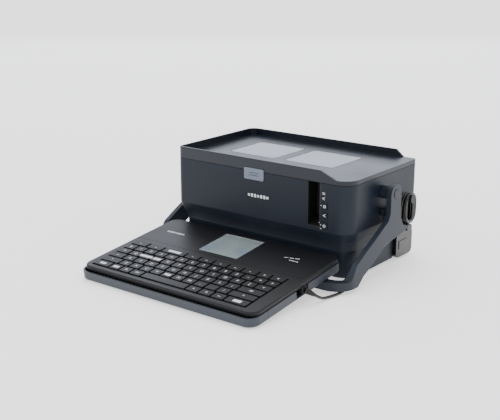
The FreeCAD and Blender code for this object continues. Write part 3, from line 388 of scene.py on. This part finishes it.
def make_legends():
    pitch = (KEY_RIGHT - KEY_LEFT) / KEY_COLUMNS
    depth = (KEY_REAR - KEY_FRONT) / len(KEY_ROWS)
    groups = {}
    for row, (label, widths, signs) in enumerate(KEY_ROWS):
        at = 0.0
        for i, (width, sign) in enumerate(zip(widths, signs.split())):
            group = "arrow_keys" if (label, i) in ARROWS else label
            across = KEY_LEFT + (at + width / 2) * pitch
            at += width
            if sign != ".":
                mark = key_mark(sign, across, KEY_FRONT + (row + 0.5) * depth)
                groups.setdefault(group, []).append(mark)
    for group, marks in groups.items():
        printed(marks, "print_on_" + group, group + "_press")


# Plain marks, control signs and the release button's grip lines

DECK_TOP = 18  # the keyboard's top plate, above its bottom
BUTTON_PROUD = 0.55  # how far the side buttons stand out of the front
CONTROL_SIGNS = (
    (105.5, 117, "=", 6), (105.5, 110.5, "<", 6), (107, 101, "o", 6), (107, 88, "<", 6),
    (107, 75, "o", 6), (99.5, 78.5, "-", 4),
)


def tally(matrix, count, pitch, wide, tall):
    """A plain row of printed blocks, every third one shorter."""
    row = []
    for i in range(count):
        shift = Matrix.Translation(((i - (count - 1) / 2) * pitch * MM, 0, 0))
        height = tall * (1 if i % 3 else 0.72)
        row.append(plate(wide, height, 0.05, 0.1, 0.05, matrix @ shift))
    return row


def make_front_details():
    low, high = (Vector(c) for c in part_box("release_button"))
    centre = (low + high) / 2 / MM
    out = (FRONT - low.y) / MM
    grips = [
        plate(16, 0.7, 0.15, 0.25, 0.12, on_front(centre.x, centre.z + level, out), segments=2)
        for level in (-1.7, 1.7)
    ]
    fitted(grips, "grip_lines", "handle", "release")
    printed(tally(on_front(0, 96.5), 7, 5.2, 3.4, 4.6), "front_mark", "main_unit")
    signs = [
        lettering(sign, size, on_front(across, level, BUTTON_PROUD))
        for across, level, sign, size in CONTROL_SIGNS
    ]
    printed(signs, "control_signs", "main_unit")
    slanted = on_keyboard(90, 125.5, DECK_TOP) @ Matrix.Rotation(math.radians(12), 4, "Z")
    marks = tally(on_keyboard(-103, 117.7, DECK_TOP), 7, 4.6, 3, 4)
    marks += tally(slanted, 3, 8, 6.2, 1.3)
    marks += tally(on_keyboard(97, 119, DECK_TOP), 5, 3, 2.2, 1.8)
    printed(marks, "keyboard_marks", "keyboard")


# Lid: painted shade as dark rings in the gaps round the windows, and the labels that show through them

GAP_SHADE_MARGIN = 0.55 * MM  # how far a painted shade ring reaches past its window
GAP_SHADE_WIDTH = 1.5 * MM
GAP_SHADE_HEIGHT = 0.12 * MM
GAP_SHADE_CORNER = 7.4 * MM


def gap_shade_ring(node):
    """A thin dark ring of painted shade, laid over the gap round a window."""
    low, high = (Vector(c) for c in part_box(node))
    place = (*middle(node).xy, high.z)
    piece = fresh(bpy.ops.mesh.primitive_plane_add, size=1, location=place)
    piece.dimensions = (high.x - low.x + 2 * GAP_SHADE_MARGIN, high.y - low.y + 2 * GAP_SHADE_MARGIN, 0)
    bpy.ops.object.transform_apply(location=True, rotation=True, scale=True)
    bpy.ops.object.mode_set(mode="EDIT")
    bpy.ops.mesh.select_all(action="SELECT")
    bpy.ops.mesh.bevel(offset=GAP_SHADE_CORNER, segments=6, affect="VERTICES")
    bpy.ops.mesh.select_all(action="SELECT")
    bpy.ops.mesh.inset(thickness=GAP_SHADE_WIDTH)
    bpy.ops.mesh.delete(type="FACE")
    bpy.ops.mesh.select_all(action="SELECT")
    bpy.ops.mesh.extrude_region_move(TRANSFORM_OT_translate={"value": (0, 0, GAP_SHADE_HEIGHT)})
    bpy.ops.object.mode_set(mode="OBJECT")
    return piece


def make_lid_details():
    rings = [gap_shade_ring(node) for node in ("left_window", "right_window")]
    # dark rings of painted shade round both windows
    fitted(rings, "window_gap_shade_rings", "window_gap_shade", "lid")
    labels = []
    for node, aside in (("left_window", 6), ("right_window", -6)):
        centre, underside = middle(node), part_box(node)[0].z
        spot = Matrix.Translation((centre.x + aside * MM, centre.y - 4 * MM, underside - 0.3 * MM))
        labels.append(plate(44, 30, 0.1, 0.1, 0.05, spot))
        labels.append(plate(22, 42, 0.3, -0.15, 0.05, spot @ Matrix.Translation((-15 * MM, 0, 0))))
    fitted(labels, "window_labels", "paper", "lid", smooth=0)


# The keyboard's cord: one length from the keyboard to the hank and into its socket

CORD_WIDTH = 4 * MM
CORD_ROUTE = (
    (-5.9, -86, 18.8), (-0.5, -84, 16.8), (3.5, -74.5, 9.8), (4.5, -64, 4), (5, -53, 2.3),
    (8, -41, 2.3), (9.5, -28, 2.4), (8, -12, 3.6), (6.5, 6, 8), (6, 26, 15.5),
    (6, 46, 24), (6.5, 66, 32), (7.5, 86, 39), (9.4, 108, 45), (11.2, 130.5, 48.5),
)
TAIL_ROUTE = ((6.6, 126, 54), (6.3, 119, 51), (6, 108.5, 56), (6, 103.5, 63.5), (6, 103, 71.5))
HANK_TURNS = 9
SLEEVE_POINTS = 96  # the most points that a strain relief follows
HANK_ANGLES = (-90, -60, -30, 0, 0, 30, 60, 90, 120, 150, 180, 180, 210, 240)
TOP_ANGLES = range(4, 11)


def on_side(route):
    """A route in millimetres from the right side, the front and the floor, in metres in the frame."""
    return [Vector((HOUSING_HIGH.x + x * MM, FRONT + y * MM, z * MM)) for x, y, z in route]


def hank_points():
    """Loose long turns that hang over the hook in three lanes and differ in size."""
    low, high = (Vector(c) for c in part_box("cord_hank"))
    half = CORD_WIDTH / 2
    spread = random.Random(7)
    turns = []
    for turn in range(HANK_TURNS + 1):
        ring, lane = divmod(turn, 3)
        lane = lane if ring % 2 else 2 - lane
        turns.append((
            low.x + half + lane * (high.x - low.x - CORD_WIDTH) / 2,
            (8.9 + 2.3 * min(ring, 2) + spread.uniform(-0.5, 0.5)) * MM,
            high.z - half - (2 - ring) * 2.6 * MM + spread.uniform(0, 0.8) * MM,
            low.z + half + spread.uniform(0, 4) * MM,
            spread.uniform(-1.6, 1.6) * MM,
        ))
    points = []
    for step in range((HANK_TURNS - 1) * len(HANK_ANGLES) + 11):
        turn, place = divmod(step, len(HANK_ANGLES))
        share = max(0.0, place / len(HANK_ANGLES) - 0.55) / 0.45
        x, wide, top, bottom, aside = (
            a + (b - a) * share for a, b in zip(turns[turn], turns[turn + 1])
        )
        angle = math.radians(HANK_ANGLES[place])
        level = top - wide if place in TOP_ANGLES else bottom + wide
        points.append(Vector((
            x, (low.y + high.y) / 2 + aside + wide * math.cos(angle), level + wide * math.sin(angle),
        )))
    return points


def smooth_line(points):
    """The points along the smooth curve that the route's points steer."""
    data = bpy.data.curves.new("route", "CURVE")
    data.dimensions = "3D"
    data.resolution_u = 8
    spline = data.splines.new("NURBS")
    spline.points.add(len(points) - 1)
    for spot, point in zip(spline.points, points):
        spot.co = (*point, 1)
    spline.order_u = 3
    spline.use_endpoint_u = True
    curve = bpy.data.objects.new("route", data)
    mesh = bpy.data.meshes.new_from_object(curve)
    line = [v.co.copy() for v in mesh.vertices]
    bpy.data.meshes.remove(mesh)
    bpy.data.objects.remove(curve)
    bpy.data.curves.remove(data)
    return line


def tube(name, line, width, material, taper=None):
    """A round tube that follows a line, with its ends closed; taper gives each point's share."""
    data = bpy.data.curves.new(name, "CURVE")
    data.dimensions = "3D"
    data.bevel_depth = width / 2
    data.bevel_resolution = 3
    data.use_fill_caps = True
    spline = data.splines.new("POLY")
    spline.points.add(len(line) - 1)
    for i, (spot, point) in enumerate(zip(spline.points, line)):
        spot.co = (*point, 1)
        spot.radius = taper(i / (len(line) - 1)) if taper else 1
    curve = bpy.data.objects.new(name, data)
    mesh = bpy.data.meshes.new_from_object(curve)
    bpy.data.objects.remove(curve)
    bpy.data.curves.remove(data)
    piece = bpy.data.objects.new(name, mesh)
    bpy.context.collection.objects.link(piece)
    for face in mesh.polygons:
        face.use_smooth = True
    mesh.materials.append(material)
    return piece


def stretch_of(line, length):
    """The first part of a line, with three more points between each two of its own."""
    travelled, kept = 0.0, [line[0]]
    for a, b in zip(line, line[1:]):
        travelled += (b - a).length
        kept.append(b)
        if travelled > length:
            break
    fine = []
    for a, b in zip(kept, kept[1:]):
        fine += [a.lerp(b, k / 4) for k in range(4)]
    return (fine + [kept[-1]])[:SLEEVE_POINTS]


def ribbed(share):
    """A strain relief's width along its length: tapering, with four ribs."""
    rib = 0.12 if (share * 4.5) % 1 < 0.6 else 0.0
    return 1.0 - 0.42 * share + rib * (1 - share)


def make_cord():
    route = on_side(CORD_ROUTE) + hank_points() + on_side(TAIL_ROUTE)
    line = smooth_line(route)
    cord = tube("keyboard_lead", line, CORD_WIDTH, MATERIALS["jacket"])
    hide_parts("keyboard_cord", "cord_hank", "cord_tail")
    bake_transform(cord)
    sleeve = tube("lead_strain_relief", stretch_of(line, 13 * MM), 8 * MM, MATERIALS["rubber"], ribbed)
    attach(sleeve, "keyboard")
    # The same sleeve at the plug's end
    end = tube("plug_strain_relief", stretch_of(line[::-1], 12 * MM), 8 * MM, MATERIALS["rubber"], ribbed)
    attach(end, "main_unit")


# Camera, floor and lights


def make_stage():
    floor = fresh(bpy.ops.mesh.primitive_plane_add, size=60, location=(0, 0, -0.0002))
    floor.name = "floor"
    # A faint glow of its own keeps the floor pale where the view transform would grey it
    material, tree = new_material("white_studio_floor")
    shader_out(tree, add(
        tree, "ShaderNodeBsdfPrincipled", {
            "Base Color": colour("#f6f6f6"), "Roughness": 0.95, "Emission Color": colour("#ffffff"),
            "Emission Strength": 0.8,
        },
    ))
    floor.data.materials.append(material)


def area_light(name, place, target, size, power, tint):
    data = bpy.data.lights.new(name, "AREA")
    data.shape = "RECTANGLE"
    data.size, data.size_y = size
    data.energy = power
    data.color = colour(tint)[:3]
    light = bpy.data.objects.new(name, data)
    bpy.context.collection.objects.link(light)
    light.location = place
    direction = Vector(target) - Vector(place)
    light.rotation_euler = direction.to_track_quat("-Z", "Y").to_euler()
    light.visible_camera = False


def make_lights():
    area_light("back_softbox", (-1.65, 2.15, 1.25), (0, 0, 0.1), (3.2, 1.6), 26, "#dde7ff")
    area_light("front_softbox", (-1.4, -2.0, 1.3), (0, 0, 0.1), (1.8, 1.8), 10, "#e6edff")
    data = bpy.data.lights.new("ceiling", "SUN")
    data.energy = 1.5
    data.angle = math.radians(60)
    ceiling = bpy.data.objects.new("ceiling", data)
    bpy.context.collection.objects.link(ceiling)
    ceiling.rotation_euler = (math.radians(-16), math.radians(-10), 0)
    world = bpy.data.worlds.new("studio")
    bpy.context.scene.world = world
    world.use_nodes = True
    world.node_tree.nodes["Background"].inputs["Color"].default_value = colour("#ffffff")
    world.node_tree.nodes["Background"].inputs["Strength"].default_value = 1.1


def make_camera():
    data = bpy.data.cameras.new("camera")
    data.lens = 68.83
    data.sensor_width = 36
    camera = bpy.data.objects.new("camera", data)
    bpy.context.collection.objects.link(camera)
    camera.location = (0.7517, FRONT - 0.9927, 0.434)
    camera.rotation_euler = (math.radians(90 - 15.99), 0, math.radians(37.64))
    bpy.context.scene.camera = camera


make_camera()
make_stage()
make_lights()
finish_nodes()
make_cord()
make_legends()
make_front_details()
make_lid_details()
